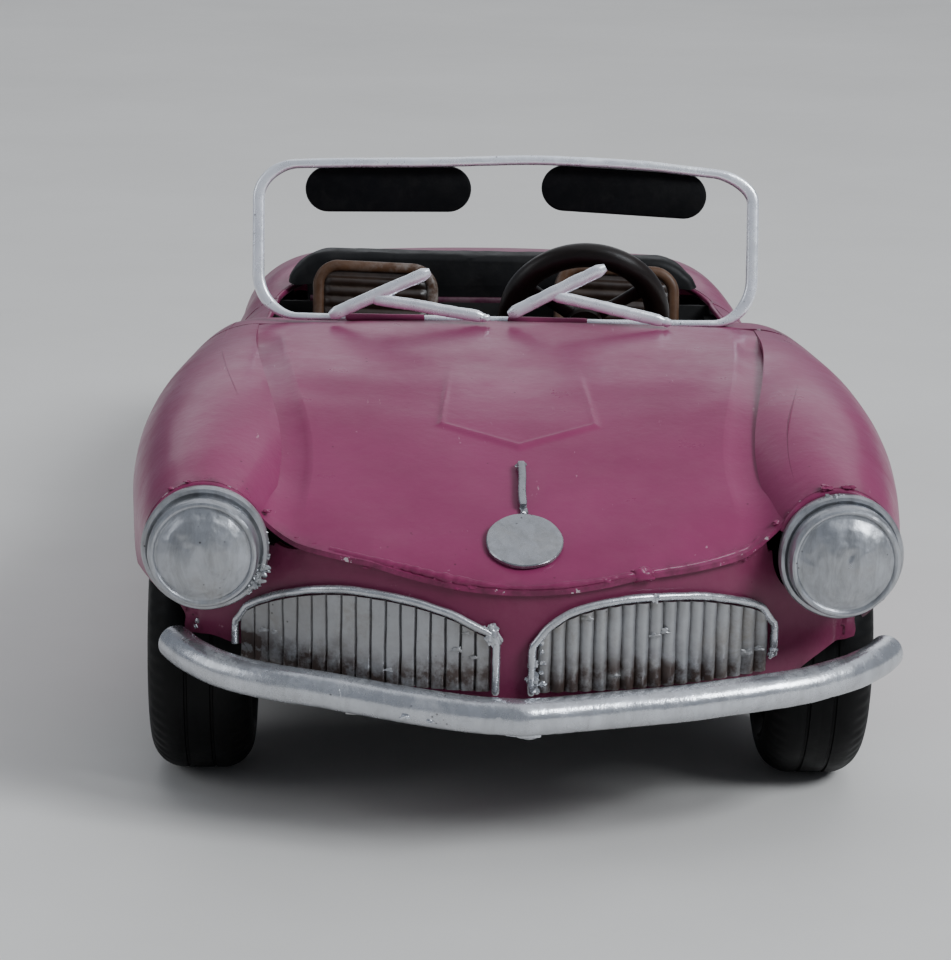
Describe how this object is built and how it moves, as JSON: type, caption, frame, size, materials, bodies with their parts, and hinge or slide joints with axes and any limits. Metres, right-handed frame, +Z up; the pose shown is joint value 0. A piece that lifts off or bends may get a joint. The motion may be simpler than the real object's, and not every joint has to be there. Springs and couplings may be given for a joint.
{
  "type": "friction tin car",
  "caption": "Hand-made painted tin roadster toy: open cockpit, framed windscreen, twin grilles, and a friction flywheel motor geared to the rear axle.",
  "frame": {"origin": "on the ground, under the middle of the car's bounding box", "axes": "+X towards the car's own left (the steering wheel's side), -Y forwards, +Z up; Y is the car's length"},
  "size_m": [0.124, 0.3, 0.0936],
  "materials": {
    "body_paint": "glossy burgundy-rose enamel over tin, chipped at the seams",
    "silver_paint": "silver aluminium paint, worn and a little dirty",
    "black_paint": "satin black paint",
    "bare_steel": "plain drawn and stamped steel",
    "brown_paint": "brown paint on ribbed pressings",
    "gear_brass": "stamped brass",
    "tyre_black": "black rubber, dusty"
  },
  "bodies": {
    "car": {"base_plate": "black_paint", "motor_pan": "black_paint", "bonnet": "body_paint", "nose_panel": "body_paint", "front_fender_left": "body_paint", "front_fender_right": "body_paint", "door_left": "body_paint", "door_right": "body_paint", "rear_fender_left": "body_paint", "rear_fender_right": "body_paint", "rear_deck": "body_paint", "tail_panel": "body_paint", "scuttle": "body_paint", "dashboard": "body_paint", "cockpit_tub": "black_paint", "hood_cover": "black_paint", "windscreen_frame": "silver_paint", "sun_visor_left": "black_paint", "sun_visor_right": "black_paint", "wiper_left": "silver_paint", "wiper_right": "silver_paint", "seat_left": "brown_paint", "seat_right": "brown_paint", "headlamp_bucket_left": "silver_paint", "headlamp_bucket_right": "silver_paint", "headlamp_lens_left": "silver_paint", "headlamp_lens_right": "silver_paint", "grille_left": "silver_paint", "grille_right": "silver_paint", "grille_surround_left": "silver_paint", "grille_surround_right": "silver_paint", "front_bumper": "silver_paint", "front_bumper_brackets": "bare_steel", "rear_bumper": "silver_paint", "rear_bumper_brackets": "bare_steel", "bonnet_badge": "silver_paint", "badge_spear": "silver_paint", "tail_lamps": "silver_paint", "steering_column": "bare_steel", "axle_brackets": "bare_steel", "pan_screws": "bare_steel", "motor_plate_left": "bare_steel", "motor_plate_right": "bare_steel", "motor_pillars": "bare_steel"},
    "front_wheels": {"front_axle": "bare_steel", "front_hub_left": "silver_paint", "front_hub_right": "silver_paint", "front_tyre_left": "tyre_black", "front_tyre_right": "tyre_black"},
    "rear_wheels": {"rear_axle": "bare_steel", "rear_hub_left": "silver_paint", "rear_hub_right": "silver_paint", "rear_tyre_left": "tyre_black", "rear_tyre_right": "tyre_black", "axle_gear": "gear_brass"},
    "lay_gears": {"layshaft": "bare_steel", "layshaft_gear": "gear_brass"},
    "inertia_wheel": {"flywheel_shaft": "bare_steel", "flywheel": "bare_steel"},
    "steering": {"steering_wheel": "brown_paint"}
  },
  "joints": [
    {"name": "front_axle_spin", "type": "hinge", "parent": "car", "child": "front_wheels", "pos_m": [0, -0.095, 0.023], "axis": [1, 0, 0], "continuous": true},
    {"name": "rear_axle_spin", "type": "hinge", "parent": "car", "child": "rear_wheels", "pos_m": [0, 0.075, 0.023], "axis": [1, 0, 0], "continuous": true},
    {"name": "layshaft_spin", "type": "hinge", "parent": "car", "child": "lay_gears", "pos_m": [0, 0.06305, 0.0299], "axis": [1, 0, 0], "continuous": true},
    {"name": "flywheel_spin", "type": "hinge", "parent": "car", "child": "inertia_wheel", "pos_m": [0, 0.05202, 0.03916], "axis": [1, 0, 0], "continuous": true},
    {"name": "steering_wheel_turn", "type": "hinge", "parent": "car", "child": "steering", "pos_m": [0.015, -0.02, 0.0603], "axis": [0, 0.9205, 0.3907], "continuous": true}
  ],
  "couplings": [
    {"joint": "layshaft_spin", "follows": "flywheel_spin", "ratio": -0.33333},
    {"joint": "rear_axle_spin", "follows": "flywheel_spin", "ratio": 0.11765}
  ]
}
